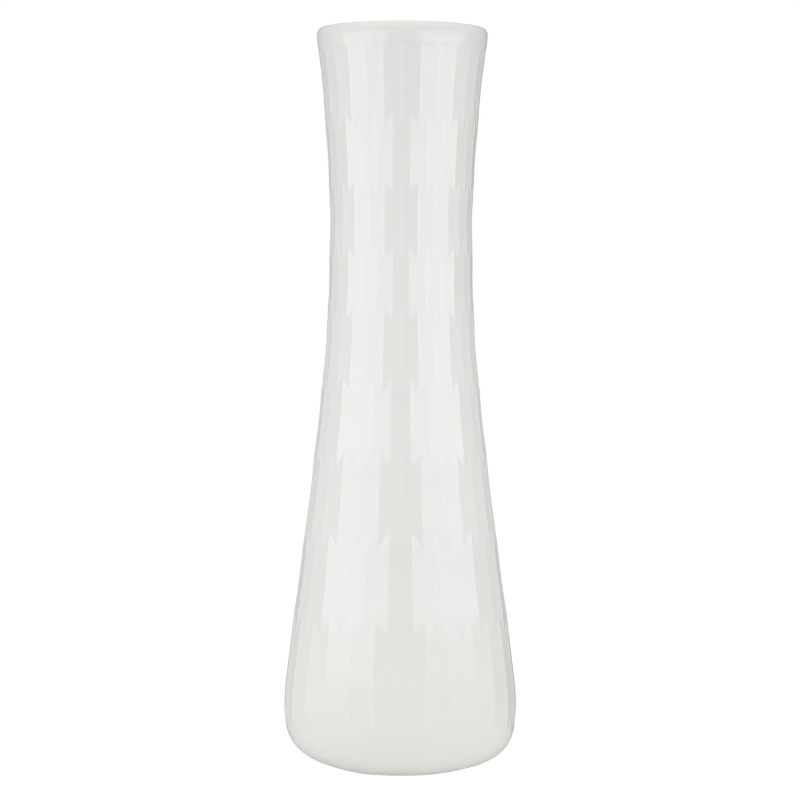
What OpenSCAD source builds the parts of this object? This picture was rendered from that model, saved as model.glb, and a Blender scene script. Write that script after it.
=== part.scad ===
// Slim porcelain vase, fired in one piece. Nine stacked tiers of flat facets run round the body,
// each tier turned half a facet against the next, between a smooth rim band and a smooth base.
// It stands on its foot ring at z = 0, centred on the Z axis. Lengths are in millimetres.

/* [Outline] */
// Height from the table to the top of the lip
height = 300; // [270:1:330]
// Diameter over the smooth band at the rim
rim_d = 69.1; // [64:0.1:76]
// Diameter over the ridges at the waist
waist_d = 57.8; // [52:0.2:62]
// Height of the waist above the table
waist_z = 225; // [205:1:240]
// Diameter over the ridges at the hip, where the lean ends and the base begins to round in
hip_d = 91.7; // [84:0.1:98]
// Height of the hip above the table
hip_z = 43; // [38:1:50]
// Diameter of the foot ring where it meets the table
foot_d = 39.5; // [36:0.5:46]

/* [Facets] */
// Facets round each tier
facet_count = 27; // [21:1:33]
// Height of the smooth band at the rim
rim_band_h = 8; // [6:0.5:12]
// How much wider the rim band is at the lip than at its lower edge
rim_flare = 0.5; // [0.2:0.05:0.8]
// How far the rim band's lower edge stands proud of the ridges below it
rim_step = 0.05; // [0.05:0.05:0.4]
// Height over which the rim band runs in to the middles of the facets
rim_step_h = 2.8; // [1.5:0.1:4]
// Height of the smooth base, up to the lower end of the lowest tier
base_h = 18; // [15:0.5:22]
// How far a ridge's head tapers on past the joint above it at the waist; it grows with the girth
ridge_head = 2.8; // [2:0.2:4]
// How far a ridge's tail tapers on past the joint below it at the waist; it grows with the girth
ridge_tail = 3.2; // [2:0.2:4.4]
// How far each ridge dips between its two ends
ridge_dip = 0.2; // [0:0.05:0.6]

/* [Wall] */
// Thickness of the wall
wall = 3.2; // [2.4:0.1:4]
// Thickness of the floor inside the foot ring
floor_t = 5; // [4:0.1:7]
// Height of the rounded lip
lip_h = 2.6; // [1.5:0.1:4]
// Width of the foot ring
foot_ring_w = 3.6; // [2.5:0.1:5]
// Depth of the hollow under the foot
foot_recess = 1.8; // [1:0.1:2.5]
// Rounding of the foot ring's edges
foot_edge = 0.6; // [0.3:0.05:0.9]

/* [Hidden] */
$fn = 96;
overrun = 1;

// Tiers from the rim down, as shares of the faceted height
tier_height_shares = [0.111, 0.098, 0.096, 0.088, 0.104, 0.107, 0.115, 0.124, 0.157];
tier_count = len(tier_height_shares);
facets_top = height - rim_band_h;
facets_h = facets_top - base_h;
pitch = 360 / facet_count;
// Height of the joint above tier i; tier_count gives the lower end of the last tier
function tier_top(i) = i == 0 ? facets_top : tier_top(i - 1) - tier_height_shares[i - 1] * facets_h;

// Slopes of the outline, sideways over upright, and the curves' handles as shares of their spans
lean_share = 0.136;
flare_share = 0.125;
neck_handle_shares = [0.05, 0.48];
flank_handle_shares = [0.25, 0.66];
base_handle_shares = [0.92, 0.73];
base_rise_share = 0.24;
neck_r = rim_d / 2 - rim_flare - rim_step;
curve_steps = 18;
band_steps = 5;

// The lip is rounded over half the wall on either side
lip_w = wall / 2;
lip_steps = 6;

function bezier(p, t) =
    pow(1 - t, 3) * p[0] + 3 * pow(1 - t, 2) * t * p[1] + 3 * (1 - t) * t * t * p[2] + pow(t, 3) * p[3];

// Handles of the three curves of the outline, each point as [radius, height], moved inwards by an
// inset and upwards at the foot by a lift
function base_curve(inset, lift) =
    let (
        foot = [foot_d / 2 - inset, lift],
        hip = [hip_d / 2 - inset, hip_z],
        reach = (hip_d - foot_d) / 2,
        low = base_handle_shares[0] * reach,
        high = base_handle_shares[1] * hip_z
    )
    [foot, foot + [low, base_rise_share * low], hip + [lean_share * high, -high], hip];
function flank_curve(inset) =
    let (
        hip = [hip_d / 2 - inset, hip_z],
        waist = [waist_d / 2 - inset, waist_z],
        span = waist_z - hip_z,
        low = flank_handle_shares[1] * span
    )
    [hip, hip + [-lean_share * low, low], waist - [0, flank_handle_shares[0] * span], waist];
function neck_curve(inset) =
    let (
        waist = [waist_d / 2 - inset, waist_z],
        top = [neck_r - inset, facets_top],
        span = facets_top - waist_z,
        high = neck_handle_shares[1] * span
    )
    [waist, waist + [0, neck_handle_shares[0] * span], top - [flare_share * high, high], top];

// The outline as points from the foot up to the rim band
function outline(inset, lift) = concat(
    [for (i = [0:curve_steps - 1]) bezier(base_curve(inset, lift), i / curve_steps)],
    [for (i = [0:curve_steps - 1]) bezier(flank_curve(inset), i / curve_steps)],
    [for (i = [0:curve_steps]) bezier(neck_curve(inset), i / curve_steps)]
);
outer_points = outline(0, 0);
outer_table = [for (p = outer_points) [p[1], p[0]]];
function outer_r(z) = lookup(z, outer_table);

// Depth of a facet's middle under its ridges
function facet_depth(z) = outer_r(z) * (1 - cos(pitch / 2));

// Ridges sink by this share of the facet depth at their very ends, and the smooth base leans in by
// its own share under the lowest ones
end_sink_share = 1.3;
bowl_lean_share = 1.2;
end_steps = 3;
body_steps = 4;

// Lengths of a ridge's ends at a joint between tiers
function girth_share(z) = outer_r(z) / (waist_d / 2);
function head_at(z) = ridge_head * girth_share(z);
function tail_at(z) = ridge_tail * girth_share(z);

// Radius of the ridges of a tier between top and bottom. They dip between their ends. Each end
// sinks from its own length inside the joint to as far past it, so across a joint the ridges of
// one tier give way evenly to those of the next.
function ridge_r(z, top, bottom) =
    let (
        head = head_at(top),
        tail = tail_at(bottom),
        along = min(1, max(0, (z - bottom - tail) / (top - head - bottom - tail))),
        past_share = max(0, (z - top + head) / (2 * head), (bottom + tail - z) / (2 * tail)),
        sink = end_sink_share * facet_depth(z) * pow(past_share, 2)
    )
    outer_r(z) - ridge_dip * 4 * along * (1 - along) - sink;

// Heights of a tier's rings: close together where its ends taper, wider between
function ring_heights(top, bottom) =
    let (
        head = head_at(top),
        tail = tail_at(bottom),
        body = top - head - bottom - tail
    )
    concat(
        [for (i = [0:end_steps - 1]) bottom - tail + 2 * tail * i / end_steps],
        [for (i = [0:body_steps]) bottom + tail + body * i / body_steps],
        [for (i = [1:end_steps]) top - head + 2 * head * i / end_steps]
    );

// One tier: a loft through rings of facet_count corners, turned about the axis
module tier(top, bottom, turn) {
    heights = ring_heights(top, bottom);
    last = len(heights) - 1;
    n = facet_count;
    points = [
        for (z = heights)
            for (k = [0:n - 1])
                let (a = turn + k * pitch, r = ridge_r(z, top, bottom))
                [r * cos(a), r * sin(a), z]
    ];
    sides = [
        for (i = [0:last - 1])
            for (k = [0:n - 1])
                [i * n + k, (i + 1) * n + k, (i + 1) * n + (k + 1) % n, i * n + (k + 1) % n]
    ];
    floor_face = [for (k = [0:n - 1]) k];
    roof_face = [for (k = [n - 1:-1:0]) last * n + k];
    polyhedron(points, concat(sides, [floor_face, roof_face]));
}

// Smooth base below the facets; it leans in a little as it carries on up inside the lowest tier
module base_bowl() {
    bowl_top = base_h + tail_at(base_h);
    lean_in = bowl_lean_share * facet_depth(bowl_top);
    rotate_extrude()
        polygon(concat(
            [[0, 0], [foot_d / 2 - foot_edge, 0], [foot_d / 2, foot_edge]],
            [for (p = outer_points) if (p[1] > foot_edge && p[1] < base_h) p],
            [[outer_r(base_h), base_h], [outer_r(bowl_top) - lean_in, bowl_top], [0, bowl_top]]
        ));
}

// Outside of the rim band: it carries the neck's flare on and turns upright at the lip
function band_curve() =
    let (
        low = [neck_r + rim_step, facets_top],
        lip = [rim_d / 2, height - lip_h],
        handle = (height - lip_h - facets_top) / 3
    )
    [low, low + [flare_share * handle, handle], lip - [0, handle], lip];

// Smooth band under the lip with its rounded top. Its lower edge runs in to the middles of the
// facets, so it ends in a row of shallow arches.
module rim_band() {
    band_low = facets_top - rim_step_h;
    low_r = outer_r(band_low) - facet_depth(band_low) - rim_step;
    rotate_extrude()
        polygon(concat(
            [[0, band_low], [low_r, band_low]],
            [for (i = [0:band_steps - 1]) bezier(band_curve(), i / band_steps)],
            lip_arc(1),
            [[0, height]]
        ));
}

// Half of the rounded lip: the outer half for side 1, the inner half for side -1
function lip_arc(side) =
    [for (i = [0:lip_steps])
        let (a = 90 * i / lip_steps)
        [rim_d / 2 - lip_w + side * lip_w * cos(a), height - lip_h + lip_h * sin(a)]];

// Hollow inside, from the floor to the mouth, which follows the outside at the wall's thickness
module cavity() {
    inner_floor = floor_t + foot_recess;
    rotate_extrude()
        polygon(concat(
            [[0, inner_floor]],
            outline(wall, inner_floor),
            lip_arc(-1),
            [[rim_d / 2 - lip_w, height + overrun], [0, height + overrun]]
        ));
}

// Hollow under the floor, inside the foot ring
module foot_hollow() {
    mouth_r = foot_d / 2 - foot_ring_w;
    rotate_extrude()
        polygon([
            [0, -overrun],
            [mouth_r, -overrun],
            [mouth_r, 0],
            [mouth_r - foot_edge, foot_edge],
            [mouth_r - foot_recess, foot_recess],
            [0, foot_recess]
        ]);
}

module vase_body() color("whitesmoke") difference() {
    union() {
        for (i = [0:tier_count - 1])
            tier(tier_top(i), tier_top(i + 1), (i % 2) * pitch / 2 - 90);
        base_bowl();
        rim_band();
    }
    cavity();
    foot_hollow();
}

vase_body();
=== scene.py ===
"""Looks of a slim porcelain vase: nine stacked tiers of flat facets under a smooth rim band, all under one
glossy white glaze. It stands on a white table, lit by two softboxes and three grey cards. Sizes are in
millimetres and become metres where they go into meshes, lamps and nodes."""

import math

import bpy
import numpy as np
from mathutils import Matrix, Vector


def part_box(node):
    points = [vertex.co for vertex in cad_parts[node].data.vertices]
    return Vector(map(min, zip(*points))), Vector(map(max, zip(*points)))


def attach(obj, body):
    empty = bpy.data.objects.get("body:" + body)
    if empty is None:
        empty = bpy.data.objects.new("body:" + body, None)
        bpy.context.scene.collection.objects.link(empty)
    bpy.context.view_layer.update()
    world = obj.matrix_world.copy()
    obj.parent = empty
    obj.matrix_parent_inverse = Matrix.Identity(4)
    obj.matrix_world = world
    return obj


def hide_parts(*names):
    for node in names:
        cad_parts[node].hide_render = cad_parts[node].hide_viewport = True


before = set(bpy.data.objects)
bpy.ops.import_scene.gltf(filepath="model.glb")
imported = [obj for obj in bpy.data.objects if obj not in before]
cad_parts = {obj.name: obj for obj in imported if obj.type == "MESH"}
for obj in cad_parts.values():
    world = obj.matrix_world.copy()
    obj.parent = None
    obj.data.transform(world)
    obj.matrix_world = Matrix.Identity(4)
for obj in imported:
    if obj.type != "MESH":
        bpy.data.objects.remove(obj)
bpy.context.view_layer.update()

MM = 0.001
NODE = "vase_body"

# The vase's sizes, in millimetres; the height comes from the frame
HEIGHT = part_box(NODE)[1].z / MM
RIM_R = 34.55
WAIST_R = 28.9
WAIST_Z = 225.0
HIP_R = 45.85
HIP_Z = 43.0
FOOT_R = 19.75
RIM_BAND_H = 8.0
RIM_FLARE = 0.5
RIM_STEP = 0.05
RIM_STEP_H = 2.8
BASE_H = 18.0
WALL = 3.2
LIP_H = 2.6
INNER_FLOOR_Z = 6.8
FOOT_RING_W = 3.6
FOOT_HOLLOW_Z = 1.8
FOOT_EDGE = 0.6

# Facets and tiers, from the rim down, as shares of the faceted height
FACETS = 27
TIER_HEIGHT_SHARES = (0.111, 0.098, 0.096, 0.088, 0.104, 0.107, 0.115, 0.124, 0.157)
FACETS_TOP = HEIGHT - RIM_BAND_H
HALF = math.pi / FACETS
RIDGE_HEAD = 2.8
RIDGE_TAIL = 3.2
RIDGE_DIP = 0.2
END_SINK_SHARE = 1.3
BOWL_LEAN_SHARE = 1.2

# Glaze on the ridges: a thin bead, and how softly ridges and creases are rounded
BEAD_H = 0.03
BEAD_W = 0.35
RIDGE_ROUND_W = 0.12
CREASE_SOFT = 0.058
RIDGE_SIDES = (0.25, 0.55)
CREASE_SIDE = 0.25

# How strongly the painted highlight on the ridges shows, up to the lower height and from the upper one
RIDGE_HIGHLIGHT_HEIGHTS = (150.0, 200.0)
RIDGE_HIGHLIGHT_SHARES = (0.3, 0.75)

# Signs of hand work: uneven ridge ends, a slight bow to the left, and a base fuller on the right
END_STRAY = 0.5
LOW_STRAY_SHARE = 2.4
BOW = 0.24
BOW_SPAN = (60.0, 290.0)
FULLNESS = 2.3
FULLNESS_TOP = 20.0
FULLNESS_POWER = 1.3
FOOT_FADE = 3.0

# Slopes and handles of the outline's three curves
LEAN_SHARE = 0.136
FLARE_SHARE = 0.125
NECK_HANDLE_SHARES = (0.05, 0.48)
FLANK_HANDLE_SHARES = (0.25, 0.66)
BASE_HANDLE_SHARES = (0.92, 0.73)
BASE_RISE_SHARE = 0.24
NECK_R = RIM_R - RIM_FLARE - RIM_STEP

# Fineness of the mesh: columns of the smooth surfaces, points of the curves, and gaps between rings
EVEN_COLUMNS = 144
OUTLINE_STEPS = 160
BAND_STEPS = 24
LIP_STEPS = 16
FOOT_EDGE_STEPS = 5
COVE_STEPS = 4
JOINT_GAP = 0.55
PLAIN_GAP = 3.0
HOLLOW_GAP = 2.5
BASE_GAP = 1.4
BAND_GAP = 0.9
INSIDE_GAP = 6.0
FLOOR_GAP = 3.0
# Heights where the smooth rings give way to the faceted ones, and the radius of the innermost rings
FOOT_RINGS_END = 0.75
BASE_RINGS_END = BASE_H - 1.2
FACET_RINGS = (BASE_H - 1.0, FACETS_TOP + 0.4)
BAND_RINGS_START = FACETS_TOP + 0.7
CORE_R = 0.6
# Radius, as a share of the girth, at which a tier that doesn't reach a height stays out of the way
HIDDEN_SHARE = 0.7
# Least share of half a facet between a ridge and the crease beside it
CREASE_MARGIN = 0.03

# Glaze and bare clay; the glaze starts between two heights above the table
GLAZE_TINTS = ((0.813, 0.798, 0.768), (0.833, 0.818, 0.788))
# Lighter tint on the ridges: a painted highlight
RIDGE_HIGHLIGHT_TINT = (0.88, 0.872, 0.85)
BARE_TINT = (0.68, 0.66, 0.61)
GLAZE_EDGE = (0.25, 0.45)
GLAZE_IOR = 1.5
GLAZE_ROUGHNESS = 0.14
BARE_ROUGHNESS = 0.7
CLOUD_SCALE = 22.0
CLOUD_DETAIL = 2.0
RIPPLE_SCALE = 90.0
RIPPLE_DETAIL = 1.0
RIPPLE_STRENGTH = 0.5
RIPPLE_H = 0.02

# World light, and the rays to which the world shows as plain white
FILL = 0.4
OVERHEAD = 0.935
SEEN_RAYS = ("Is Camera Ray", "Is Glossy Ray", "Is Transmission Ray")

# The table: half its width, its surface, its glow, and the distances from the axis over which the
# glow shows in mirrored rays and over which its painted bounce light fades, a glow near the foot for
# diffuse rays
TABLE_REACH = 6000.0
TABLE_TINT = (0.6, 0.6, 0.6)
TABLE_ROUGHNESS = 0.9
TABLE_GLOW = 1.2
TABLE_GLOW_SHARE = 0.8
MIRRORED_FADE = (180.0, 700.0)
# Painted bounce light: near the foot the table glows for diffuse rays, in this share and tint
FOOT_GLOW_FADE = (70.0, 170.0)
FOOT_GLOW_SHARE = 0.82
FOOT_GLOW_TINT = (0.97, 1, 0.975)

# Softboxes left and right of the front; their grades are brightness by share of the height
BOX_AZIMUTH = 53
BOX_DISTANCE = 450
BOX_HEIGHTS = (90, 325)
BOX_W = 584
BOX_RADIANCE = 1.9
LEFT_BOX_TINT = (0.975, 1, 1.035)
RIGHT_BOX_TINT = (1, 1, 1.035)
LEFT_BOX = (
    (0.0, 0.5), (0.14, 0.72), (0.22, 0.84), (0.34, 0.67), (0.45, 0.84), (0.56, 0.96), (0.66, 1.0),
    (0.85, 0.42), (1.0, 0.36),
)
RIGHT_BOX = (
    (0.0, 0.2), (0.14, 0.42), (0.22, 0.76), (0.34, 0.74), (0.45, 0.9), (0.56, 1.1), (0.66, 1.1),
    (0.85, 0.27), (1.0, 0.2),
)

# Grey cards, their ends as azimuth and distance. Grades upwards are by share of the card's height,
# and grades outwards by share of the reach to either side of the middle
SIDE_CARD_ENDS = ((100, 510), (158, 97))
SIDE_CARD_H = 900
FRONT_CARD_ENDS = ((-42, 800), (42, 800))
FRONT_CARD_H = 500
CARD_REACH = 500.0
LEFT_CARD = ((0.0, 0.46), (0.044, 0.46), (0.12, 0.53), (0.2, 0.53), (0.235, 0.43), (1.0, 0.43))
RIGHT_CARD = ((0.0, 0.28), (0.044, 0.28), (0.08, 0.48), (0.2, 0.5), (0.235, 0.35), (1.0, 0.33))
SIDE_REACH = ((0.0, 0.95), (0.18, 0.95), (0.28, 1.2), (0.43, 1.45), (0.78, 1.33), (1.0, 1.0))
FRONT_CARD = ((0.0, 0.46), (0.3, 0.46), (0.5, 0.5), (0.6, 0.56), (0.7, 0.56), (1.0, 0.5))
EVEN = ((0.0, 1.0), (1.0, 1.0))

# Camera, with the picture's width, the focal length and the vase's middle in the picture's pixels
PICTURE_PX = 800.0
FOCAL_PX = 3460.0
MIDDLE_PX = 401.1
CAMERA_DISTANCE = 1400.0
EYE_Z = 150.0
CAMERA_ROLL = -0.19
SENSOR_W = 36.0


def bezier(points, steps):
    """Points of a cubic curve, the last one left out."""
    p = np.array(points, float)
    t = np.linspace(0, 1, steps, endpoint=False)[:, None]
    return (1 - t) ** 3 * p[0] + 3 * (1 - t) ** 2 * t * p[1] + 3 * (1 - t) * t**2 * p[2] + t**3 * p[3]


def outline(inset=0.0, lift=0.0):
    """The vase's outline as rows of radius and height, from the foot up to the rim band, moved inwards by
    the inset and upwards at the foot by the lift."""
    foot = np.array([FOOT_R - inset, lift])
    hip = np.array([HIP_R - inset, HIP_Z])
    waist = np.array([WAIST_R - inset, WAIST_Z])
    top = np.array([NECK_R - inset, FACETS_TOP])
    low = BASE_HANDLE_SHARES[0] * (HIP_R - FOOT_R)
    high = BASE_HANDLE_SHARES[1] * HIP_Z
    base = [foot, foot + [low, BASE_RISE_SHARE * low], hip + [LEAN_SHARE * high, -high], hip]
    span = WAIST_Z - HIP_Z
    low = FLANK_HANDLE_SHARES[1] * span
    high = FLANK_HANDLE_SHARES[0] * span
    flank = [hip, hip + [-LEAN_SHARE * low, low], waist - [0, high], waist]
    span = FACETS_TOP - WAIST_Z
    low = NECK_HANDLE_SHARES[0] * span
    high = NECK_HANDLE_SHARES[1] * span
    neck = [waist, waist + [0, low], top - [FLARE_SHARE * high, high], top]
    return np.vstack([*(bezier(curve, OUTLINE_STEPS) for curve in (base, flank, neck)), top])


OUTER = outline()


def outer_r(z):
    return np.interp(z, OUTER[:, 1], OUTER[:, 0])


def tier_edges():
    """Heights of the joints from the top of the facets down to their lower end."""
    shares = np.concatenate([[0], np.cumsum(TIER_HEIGHT_SHARES)])
    return FACETS_TOP - shares * (FACETS_TOP - BASE_H)


EDGES = tier_edges()
TIERS = len(TIER_HEIGHT_SHARES)


def facet_depth(z):
    return outer_r(z) * (1 - math.cos(HALF))


def end_shifts():
    """How far each ridge's head and tail stray from the even joint: hand finishing leaves them a little
    uneven, most of all at the lowest joint. The rim's and the base's own edges stay even."""
    rng = np.random.default_rng(7)
    strays = rng.normal(0, END_STRAY, (2, TIERS, FACETS))
    heads, tails = np.clip(strays, -2 * END_STRAY, 2 * END_STRAY)
    heads[-1] *= LOW_STRAY_SHARE
    tails[-2] *= LOW_STRAY_SHARE
    heads[0] = 0
    tails[-1] = 0
    return heads, tails


HEAD_SHIFTS, TAIL_SHIFTS = end_shifts()


def tier_ridges(tier, z):
    """Radii of a tier's ridges at height z, each 0 where the ridge doesn't reach."""
    top, bottom = EDGES[tier] + HEAD_SHIFTS[tier], EDGES[tier + 1] + TAIL_SHIFTS[tier]
    head = RIDGE_HEAD * outer_r(EDGES[tier]) / WAIST_R
    tail = RIDGE_TAIL * outer_r(EDGES[tier + 1]) / WAIST_R
    along = np.clip((z - bottom - tail) / (top - head - bottom - tail), 0, 1)
    past = np.maximum(0, np.maximum((z - top + head) / (2 * head), (bottom + tail - z) / (2 * tail)))
    dip = RIDGE_DIP * 4 * along * (1 - along)
    sink = END_SINK_SHARE * facet_depth(z) * past**2
    return np.where(past > 1, 0, outer_r(z) - dip - sink)


def ridge_ring(z):
    """Radii of all ridges at height z, half a facet apart, of the even and the odd tiers in turn."""
    ring = np.empty((FACETS, 2))
    for parity in (0, 1):
        ring[:, parity] = np.max([tier_ridges(i, z) for i in range(parity, TIERS, 2)], axis=0)
    return ring.ravel()


def rim_band():
    """The rim band as rows of radius and height, from where it runs in to the facets up to the lip."""
    low = np.array([NECK_R + RIM_STEP, FACETS_TOP])
    lip = np.array([RIM_R, HEIGHT - LIP_H])
    handle = (HEIGHT - LIP_H - FACETS_TOP) / 3
    curve = bezier([low, low + [FLARE_SHARE * handle, handle], lip - [0, handle], lip], BAND_STEPS)
    end = FACETS_TOP - RIM_STEP_H
    return np.vstack([[outer_r(end) - facet_depth(end) - RIM_STEP, end], curve, lip])


BAND = rim_band()


def smooth_r(z):
    """Radius of the smooth surfaces, the rim band and the base, or 0 between them."""
    bowl_top = BASE_H + RIDGE_TAIL * outer_r(BASE_H) / WAIST_R
    if z >= BAND[0, 1]:
        return np.interp(z, BAND[:, 1], BAND[:, 0])
    if z <= bowl_top:
        lean = BOWL_LEAN_SHARE * facet_depth(bowl_top)
        return outer_r(z) - lean * max(0.0, (z - BASE_H) / (bowl_top - BASE_H))
    return 0.0


def smooth_max(a, b):
    """The greater of two radii, with the crease between them filled softly."""
    h = np.clip(CREASE_SOFT - np.abs(a - b), 0, None) / CREASE_SOFT
    return np.maximum(a, b) + h * h * CREASE_SOFT / 4


def chord(near, far, x):
    """Radius, at the angle x past the first of two ridges, of the flat facet between them."""
    span = 2 * HALF
    return near * far * math.sin(span) / (near * np.sin(x) + far * np.sin(span - x))


def creases(back, start, end, ahead, band):
    """Angle past each ridge of the crease between the facet that starts there and the one that ends half
    a facet on. Where a smooth surface covers the facets, it is the angle at which they come out of it."""
    s1, c1 = math.sin(HALF), math.cos(HALF)
    s2, c2 = math.sin(2 * HALF), math.cos(2 * HALF)
    rise = s1 / end + s1 / back - s2 / start
    run = 1 / ahead - c2 / start - c1 / end + c1 / back
    angles = np.arctan2(rise, run)
    if band:
        even = np.arange(len(start))[:, None] % 2 == 0
        gap = np.arccos(np.minimum(1, np.where(even, start, end) * c1 / band))
        angles = np.where(even, HALF - gap, gap)
    return np.clip(angles, CREASE_MARGIN * HALF, (1 - CREASE_MARGIN) * HALF)


def full_row(z):
    """One ring of the faceted wall: angles from the front ridge all the way round, radii, and marks for the
    painted highlight on the ridges.
    The columns follow the ridges and the creases between them."""
    girth = outer_r(z)
    band = smooth_r(z)
    ring = ridge_ring(z)
    ring = np.where(ring == 0, HIDDEN_SHARE * girth, ring)[:, None]
    back, start, end, ahead = (np.roll(ring, shift, axis=0) for shift in (1, 0, -1, -2))
    crease = creases(back, start, end, ahead, band)
    left = crease
    right = HALF - crease
    near, far = (side / girth for side in RIDGE_SIDES)
    side = CREASE_SIDE / girth
    x = np.hstack([
        np.zeros_like(crease),
        np.minimum(near, 0.25 * left),
        np.minimum(far, 0.5 * left),
        crease - np.minimum(side, 0.25 * left),
        crease,
        crease + np.minimum(side, 0.25 * right),
        HALF - np.minimum(far, 0.5 * right),
        HALF - np.minimum(near, 0.25 * right),
    ])
    rounding = RIDGE_ROUND_W / girth
    from_start = np.minimum(np.hypot(x, rounding), HALF)
    from_end = np.minimum(np.hypot(HALF - x, rounding), HALF)
    start_beads = np.minimum(1, left / (2 * far)) * np.exp(-((x * girth / BEAD_W) ** 2))
    end_beads = np.minimum(1, right / (2 * far)) * np.exp(-(((HALF - x) * girth / BEAD_W) ** 2))
    start_side = chord(start, ahead, from_start) + BEAD_H * start_beads
    end_side = chord(end, back, from_end) + BEAD_H * end_beads
    radii = smooth_max(start_side, end_side)
    if band:
        radii = smooth_max(radii, band)
    # Marks where the ridges get a painted highlight, stronger higher up
    marks = np.where(start_side > end_side, start_beads, end_beads)
    marks *= np.interp(z, RIDGE_HIGHLIGHT_HEIGHTS, RIDGE_HIGHLIGHT_SHARES)
    angles = np.arange(2 * FACETS)[:, None] * HALF + x
    return angles.ravel(), radii.ravel(), marks.ravel()


def facet_heights():
    """Heights of the faceted rings: close together at the joints, wider on the plain stretches."""
    bottom, top = FACET_RINGS
    heights = [bottom]
    while heights[-1] < top:
        z = heights[-1]
        girth = outer_r(z) / WAIST_R
        step = PLAIN_GAP
        for edge in EDGES:
            low, high = edge - 0.9 * RIDGE_TAIL * girth, edge + 0.95 * RIDGE_HEAD * girth
            if low - JOINT_GAP <= z < high:
                step = JOINT_GAP
            elif z < low:
                step = min(step, max(JOINT_GAP, low - z))
        heights.append(z + step)
    return heights[:-1] + [top]


def arc(centre, radii, start, end, steps):
    """Points of an elliptical arc in the radius and height plane, angles in degrees."""
    a = np.radians(np.linspace(start, end, steps + 1))
    return np.column_stack([centre[0] + radii[0] * np.cos(a), centre[1] + radii[1] * np.sin(a)])


def even_points(path, spacing):
    """Points spread evenly along a path, both ends kept."""
    path = np.array(path, float)
    along = np.concatenate([[0], np.cumsum(np.hypot(*np.diff(path, axis=0).T))])
    places = np.linspace(0, along[-1], max(2, int(along[-1] / spacing) + 1))
    return np.column_stack([np.interp(places, along, path[:, k]) for k in (0, 1)])


def under_points():
    """The underside from the axis out: hollow, rounded foot ring, and the base up to the facets."""
    inside = FOOT_R - FOOT_RING_W
    edge = FOOT_EDGE
    roof = inside - FOOT_HOLLOW_Z
    hollow = even_points([(CORE_R, FOOT_HOLLOW_Z), (roof - edge, FOOT_HOLLOW_Z)], HOLLOW_GAP)
    cove = arc((roof - edge, FOOT_HOLLOW_Z - edge), (edge, edge), 90, 0, COVE_STEPS)
    inner_turn = arc((inside, edge), (edge, edge), 180, 270, FOOT_EDGE_STEPS)
    outer_turn = arc((FOOT_R - edge, edge), (edge, edge), 270, 345, FOOT_EDGE_STEPS)
    base = OUTER[(OUTER[:, 1] > FOOT_RINGS_END) & (OUTER[:, 1] < BASE_RINGS_END)]
    return np.vstack([hollow, cove[1:], inner_turn, outer_turn, even_points(base, BASE_GAP)])


def over_points():
    """From the rim band over the lip and down inside to the middle of the floor."""
    lip = WALL / 2
    band = even_points(BAND[BAND[:, 1] > BAND_RINGS_START], BAND_GAP)
    turn = arc((RIM_R - lip, HEIGHT - LIP_H), (lip, LIP_H), 0, 180, LIP_STEPS)
    wall = even_points(outline(WALL, INNER_FLOOR_Z)[::-1], INSIDE_GAP)
    floor = even_points([(FOOT_R - WALL, INNER_FLOOR_Z), (CORE_R, INNER_FLOOR_Z)], FLOOR_GAP)
    return np.vstack([band[:-1], turn, wall[1:], floor[1:]])


def warp(points):
    """Moves the even shape's points sideways by the bow and by the base's fullness on one side."""
    x, z = points[:, 0], points[:, 2]
    low, high = BOW_SPAN
    bow = BOW * np.sin(math.pi * np.clip((z - low) / (high - low), 0, 1))
    fading = np.clip(1 - z / FULLNESS_TOP, 0, 1) ** FULLNESS_POWER * np.clip(z / FOOT_FADE, 0, 1)
    full = FULLNESS * fading * np.clip(x / outer_r(z), 0, 1) ** 2
    return points + np.column_stack([full - bow, np.zeros_like(x), np.zeros_like(x)])


class Skin:
    """Rings of points round the axis, joined into one closed surface."""

    def __init__(self):
        self.points = []
        self.marks = []
        self.faces = []
        self.count = 0

    def ring(self, angles, radii, z, marks=None):
        """Adds a ring and returns its first point's number and its angles."""
        turn = angles - math.pi / 2
        x, y = radii * np.cos(turn), radii * np.sin(turn)
        self.points.append(np.column_stack([x, y, np.full(len(angles), z)]))
        self.marks.append(np.zeros(len(angles)) if marks is None else marks)
        first = self.count
        self.count += len(angles)
        return first, angles

    def join(self, below, above):
        """Joins two rings with quads, or with triangles where they have unlike counts."""
        (a, low), (b, high) = below, above
        m, n = len(low), len(high)
        if m == n:
            k = np.arange(m)
            self.faces += np.column_stack([a + k, a + (k + 1) % m, b + (k + 1) % m, b + k]).tolist()
            return
        i = j = 0
        low_ends = np.append(low, low[0] + 2 * math.pi)
        high_ends = np.append(high, high[0] + 2 * math.pi)
        while i < m or j < n:
            if j == n or (i < m and low_ends[i + 1] <= high_ends[j + 1]):
                self.faces.append([a + i % m, a + (i + 1) % m, b + j % n])
                i += 1
            else:
                self.faces.append([a + i % m, b + (j + 1) % n, b + j % n])
                j += 1

    def cap(self, ring, z, upward):
        """Closes a ring with a fan to a point on the axis."""
        first, angles = ring
        self.points.append(np.array([[0.0, 0.0, z]]))
        self.marks.append(np.zeros(1))
        k = np.arange(len(angles))
        fan = np.column_stack([first + k, first + (k + 1) % len(angles), np.full(len(angles), self.count)])
        self.faces += (fan if upward else fan[:, ::-1]).tolist()
        self.count += 1

    def mesh(self, name):
        data = bpy.data.meshes.new(name)
        data.from_pydata((warp(np.vstack(self.points)) * MM).tolist(), [], self.faces)
        attribute = data.attributes.new("ridge", "FLOAT", "POINT")
        attribute.data.foreach_set("value", np.concatenate(self.marks).astype(np.float32))
        data.shade_smooth()
        data.update()
        return data


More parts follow.
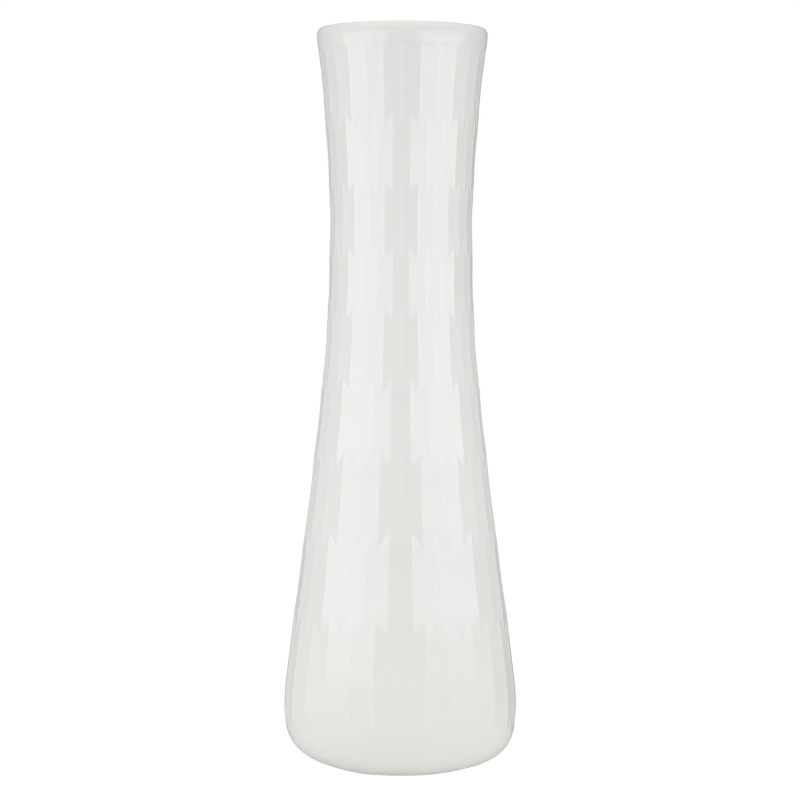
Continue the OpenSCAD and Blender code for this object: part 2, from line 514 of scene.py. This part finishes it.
def make_vase():
    """The whole fired piece as one closed mesh."""
    skin = Skin()
    even_turn = np.arange(EVEN_COLUMNS) * 2 * math.pi / EVEN_COLUMNS
    last = None
    for r, z in under_points():
        ring = skin.ring(even_turn, r, z)
        if last is None:
            skin.cap(ring, z, upward=False)
        else:
            skin.join(last, ring)
        last = ring
    for z in facet_heights():
        angles, radii, marks = full_row(z)
        ring = skin.ring(angles, radii, z, marks)
        skin.join(last, ring)
        last = ring
    for r, z in over_points():
        ring = skin.ring(even_turn, r, z)
        skin.join(last, ring)
        last = ring
    skin.cap(last, INNER_FLOOR_Z, upward=True)
    vase = bpy.data.objects.new("porcelain_vase", skin.mesh("porcelain_vase"))
    bpy.context.scene.collection.objects.link(vase)
    vase.data.materials.append(glaze_material())
    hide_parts(NODE)
    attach(vase, "root")


def node_material(name):
    material = bpy.data.materials.new(name)
    material.use_nodes = True
    return material, material.node_tree.nodes, material.node_tree.links


def math_node(nodes, links, operation, *values):
    """A Math node fed with sockets or plain numbers; returns its output."""
    node = nodes.new("ShaderNodeMath")
    node.operation = operation
    for socket, value in zip(node.inputs, values):
        if isinstance(value, (int, float)):
            socket.default_value = value
        else:
            links.new(value, socket)
    return node.outputs[0]


def greatest(nodes, links, first, *others):
    """The greatest of some sockets' values."""
    for other in others:
        first = math_node(nodes, links, "MAXIMUM", first, other)
    return first


def fade(nodes, links, value, start, end, at_start, at_end):
    """Runs from one number to another as the value goes from start to end."""
    node = nodes.new("ShaderNodeMapRange")
    node.inputs["From Min"].default_value = start
    node.inputs["From Max"].default_value = end
    node.inputs["To Min"].default_value = at_start
    node.inputs["To Max"].default_value = at_end
    links.new(value, node.inputs["Value"])
    return node.outputs["Result"]


def mixed(nodes, links, factor, a, b):
    """A colour that goes from a to b with the factor; each is a socket or a plain colour."""
    node = nodes.new("ShaderNodeMix")
    node.data_type = "RGBA"
    links.new(factor, node.inputs["Factor"])
    for name, colour in (("A", a), ("B", b)):
        if isinstance(colour, tuple):
            node.inputs[name].default_value = (*colour, 1)
        else:
            links.new(colour, node.inputs[name])
    return node.outputs["Result"]


def noise(nodes, links, place, scale, detail):
    node = nodes.new("ShaderNodeTexNoise")
    node.inputs["Scale"].default_value = scale
    node.inputs["Detail"].default_value = detail
    links.new(place, node.inputs["Vector"])
    return node.outputs["Fac"]


def parts(nodes, links, vector):
    """A vector's X, Y and Z sockets."""
    node = nodes.new("ShaderNodeSeparateXYZ")
    links.new(vector, node.inputs["Vector"])
    return node.outputs


def graded(nodes, links, value, grades):
    """Brightness by pairs of share along something and brightness share."""
    node = nodes.new("ShaderNodeValToRGB")
    stops = node.color_ramp.elements
    for place, _ in grades[1:-1]:
        stops.new(place)
    for stop, (_, grade) in zip(stops, grades):
        stop.color = (grade, grade, grade, 1)
    links.new(value, node.inputs["Fac"])
    return node.outputs["Color"]


def glaze_material():
    """Glossy white glaze with a painted highlight, a lighter tint on the ridges, over a bare matt foot
    ring.
    """
    material, nodes, links = node_material("white_glaze")
    shader = nodes["Principled BSDF"]
    shader.inputs["IOR"].default_value = GLAZE_IOR
    place = nodes.new("ShaderNodeTexCoord").outputs["Object"]
    clouds = noise(nodes, links, place, CLOUD_SCALE, CLOUD_DETAIL)
    tint = mixed(nodes, links, clouds, *GLAZE_TINTS)
    # The ridge marks carry the painted highlight: a lighter tint on the ridges
    ridge = nodes.new("ShaderNodeAttribute")
    ridge.attribute_name = "ridge"
    highlighted_tint = mixed(nodes, links, ridge.outputs["Fac"], tint, RIDGE_HIGHLIGHT_TINT)
    height = parts(nodes, links, place)["Z"]
    low, high = GLAZE_EDGE
    glazed = fade(nodes, links, height, low * MM, high * MM, 0, 1)
    links.new(mixed(nodes, links, glazed, BARE_TINT, highlighted_tint), shader.inputs["Base Color"])
    gloss = fade(nodes, links, glazed, 0, 1, BARE_ROUGHNESS, GLAZE_ROUGHNESS)
    links.new(gloss, shader.inputs["Roughness"])
    bump = nodes.new("ShaderNodeBump")
    bump.inputs["Strength"].default_value = RIPPLE_STRENGTH
    bump.inputs["Distance"].default_value = RIPPLE_H * MM
    links.new(noise(nodes, links, place, RIPPLE_SCALE, RIPPLE_DETAIL), bump.inputs["Height"])
    links.new(bump.outputs["Normal"], shader.inputs["Normal"])
    return material


def make_world():
    """White wherever the world is seen; otherwise a fill light that grows towards the zenith."""
    world = bpy.data.worlds.new("studio")
    world.use_nodes = True
    nodes, links = world.node_tree.nodes, world.node_tree.links
    path = nodes.new("ShaderNodeLightPath").outputs
    seen = greatest(nodes, links, *(path[name] for name in SEEN_RAYS))
    place = nodes.new("ShaderNodeTexCoord").outputs["Generated"]
    height = parts(nodes, links, place)["Z"]
    strength = nodes.new("ShaderNodeMix")
    links.new(seen, strength.inputs["Factor"])
    links.new(fade(nodes, links, height, 0, 1, FILL, FILL + OVERHEAD), strength.inputs["A"])
    strength.inputs["B"].default_value = 1.0
    background = nodes["Background"]
    background.inputs["Color"].default_value = (1, 1, 1, 1)
    links.new(strength.outputs["Result"], background.inputs["Strength"])
    bpy.context.scene.world = world


def flat_piece(name, corners):
    """A four-cornered sheet of the studio with a new material; returns it with the material's nodes."""
    data = bpy.data.meshes.new(name)
    data.from_pydata(corners, [], [(0, 1, 2, 3)])
    sheet = bpy.data.objects.new(name, data)
    bpy.context.scene.collection.objects.link(sheet)
    material, nodes, links = node_material(name)
    data.materials.append(material)
    return sheet, nodes, links


def make_floor():
    """A white table that keeps a faint shadow under the vase. Close to the foot the glaze mirrors the
    table's own shade, and the table glows there for diffuse rays: painted bounce light on the vase's base."""
    reach = TABLE_REACH * MM
    corners = [(-reach, -reach, 0), (reach, -reach, 0), (reach, reach, 0), (-reach, reach, 0)]
    _, nodes, links = flat_piece("table", corners)
    surface = nodes["Principled BSDF"]
    surface.inputs["Base Color"].default_value = (*TABLE_TINT, 1)
    surface.inputs["Roughness"].default_value = TABLE_ROUGHNESS
    surface.inputs["Specular IOR Level"].default_value = 0.0
    path = nodes.new("ShaderNodeLightPath").outputs
    glow = nodes.new("ShaderNodeEmission")
    glow.inputs["Strength"].default_value = TABLE_GLOW
    hue = mixed(nodes, links, path["Is Diffuse Ray"], (1, 1, 1), FOOT_GLOW_TINT)
    links.new(hue, glow.inputs["Color"])
    distance = nodes.new("ShaderNodeVectorMath")
    distance.operation = "LENGTH"
    links.new(nodes.new("ShaderNodeNewGeometry").outputs["Position"], distance.inputs[0])
    away = distance.outputs["Value"]
    start, end = (x * MM for x in MIRRORED_FADE)
    mirrored = fade(nodes, links, away, start, end, 0, 1)
    mirrored = math_node(nodes, links, "MULTIPLY", path["Is Glossy Ray"], mirrored)
    # Painted bounce light: close to the foot the table glows for diffuse rays and lights the vase's base
    start, end = (x * MM for x in FOOT_GLOW_FADE)
    foot_glow = fade(nodes, links, away, start, end, FOOT_GLOW_SHARE, 0)
    foot_glow = math_node(nodes, links, "MULTIPLY", path["Is Diffuse Ray"], foot_glow)
    seen = (path["Is Camera Ray"], path["Is Transmission Ray"], mirrored, foot_glow)
    share = math_node(nodes, links, "MULTIPLY", greatest(nodes, links, *seen), TABLE_GLOW_SHARE)
    mix = nodes.new("ShaderNodeMixShader")
    links.new(share, mix.inputs["Fac"])
    links.new(surface.outputs["BSDF"], mix.inputs[1])
    links.new(glow.outputs["Emission"], mix.inputs[2])
    links.new(mix.outputs["Shader"], nodes["Material Output"].inputs["Surface"])


def outward(azimuth):
    """Level direction from the axis, its azimuth in degrees turned from the front towards +X."""
    a = math.radians(azimuth)
    return Vector((math.sin(a), -math.cos(a), 0))


def softbox(name, azimuth, colour, grades):
    """A softbox that stands upright round the vase. Its grades run from its lower edge to its upper one."""
    low, high = BOX_HEIGHTS
    data = bpy.data.lights.new(name, "AREA")
    data.shape = "RECTANGLE"
    data.size = BOX_W * MM
    data.size_y = (high - low) * MM
    data.energy = BOX_RADIANCE * math.pi * data.size * data.size_y
    data.color = colour
    data.use_nodes = True
    nodes, links = data.node_tree.nodes, data.node_tree.links
    place = nodes.new("ShaderNodeNewGeometry").outputs["Parametric"]
    height = parts(nodes, links, place)["Y"]
    links.new(graded(nodes, links, height, grades), nodes["Emission"].inputs["Strength"])
    light = bpy.data.objects.new(name, data)
    light.location = outward(azimuth) * BOX_DISTANCE * MM + Vector((0, 0, (low + high) / 2 * MM))
    light.rotation_mode = "QUATERNION"
    light.rotation_quaternion = outward(azimuth).to_track_quat("Z", "Y")
    light.visible_camera = False
    bpy.context.scene.collection.objects.link(light)


def grey_card(name, ends, height, upwards, outwards):
    """A grey card that stands on the table between two places given by azimuth and distance, out of the
    camera's sight. Its grades run upwards from the table and outwards from the middle."""
    start, end = (outward(azimuth) * distance * MM for azimuth, distance in ends)
    up = Vector((0, 0, height * MM))
    card, nodes, links = flat_piece(name, [start, end, end + up, start + up])
    card.visible_camera = False
    place = nodes.new("ShaderNodeNewGeometry").outputs["Position"]
    x, _, z = parts(nodes, links, place)
    rise = math_node(nodes, links, "DIVIDE", z, height * MM)
    reach = math_node(nodes, links, "ABSOLUTE", x)
    reach = math_node(nodes, links, "DIVIDE", reach, CARD_REACH * MM)
    glow = nodes.new("ShaderNodeEmission")
    links.new(graded(nodes, links, rise, upwards), glow.inputs["Color"])
    links.new(graded(nodes, links, reach, outwards), glow.inputs["Strength"])
    links.new(glow.outputs["Emission"], nodes["Material Output"].inputs["Surface"])


def make_camera():
    """A level camera at the photograph's place, straight in front of the vase."""
    data = bpy.data.cameras.new("camera")
    data.sensor_width = SENSOR_W
    data.lens = data.sensor_width * FOCAL_PX / PICTURE_PX
    camera = bpy.data.objects.new("camera", data)
    side = (MIDDLE_PX - PICTURE_PX / 2) / FOCAL_PX * CAMERA_DISTANCE
    camera.location = Vector((-side, -CAMERA_DISTANCE, EYE_Z)) * MM
    camera.rotation_euler = (math.radians(90), math.radians(CAMERA_ROLL), 0)
    bpy.context.scene.collection.objects.link(camera)
    bpy.context.scene.camera = camera


make_camera()
make_vase()
make_floor()
make_world()
softbox("left_softbox", -BOX_AZIMUTH, LEFT_BOX_TINT, LEFT_BOX)
softbox("right_softbox", BOX_AZIMUTH, RIGHT_BOX_TINT, RIGHT_BOX)
grey_card("left_card", [(-a, d) for a, d in SIDE_CARD_ENDS], SIDE_CARD_H, LEFT_CARD, SIDE_REACH)
grey_card("right_card", SIDE_CARD_ENDS, SIDE_CARD_H, RIGHT_CARD, SIDE_REACH)
grey_card("front_card", FRONT_CARD_ENDS, FRONT_CARD_H, FRONT_CARD, EVEN)
bpy.context.scene.view_settings.view_transform = "Standard"
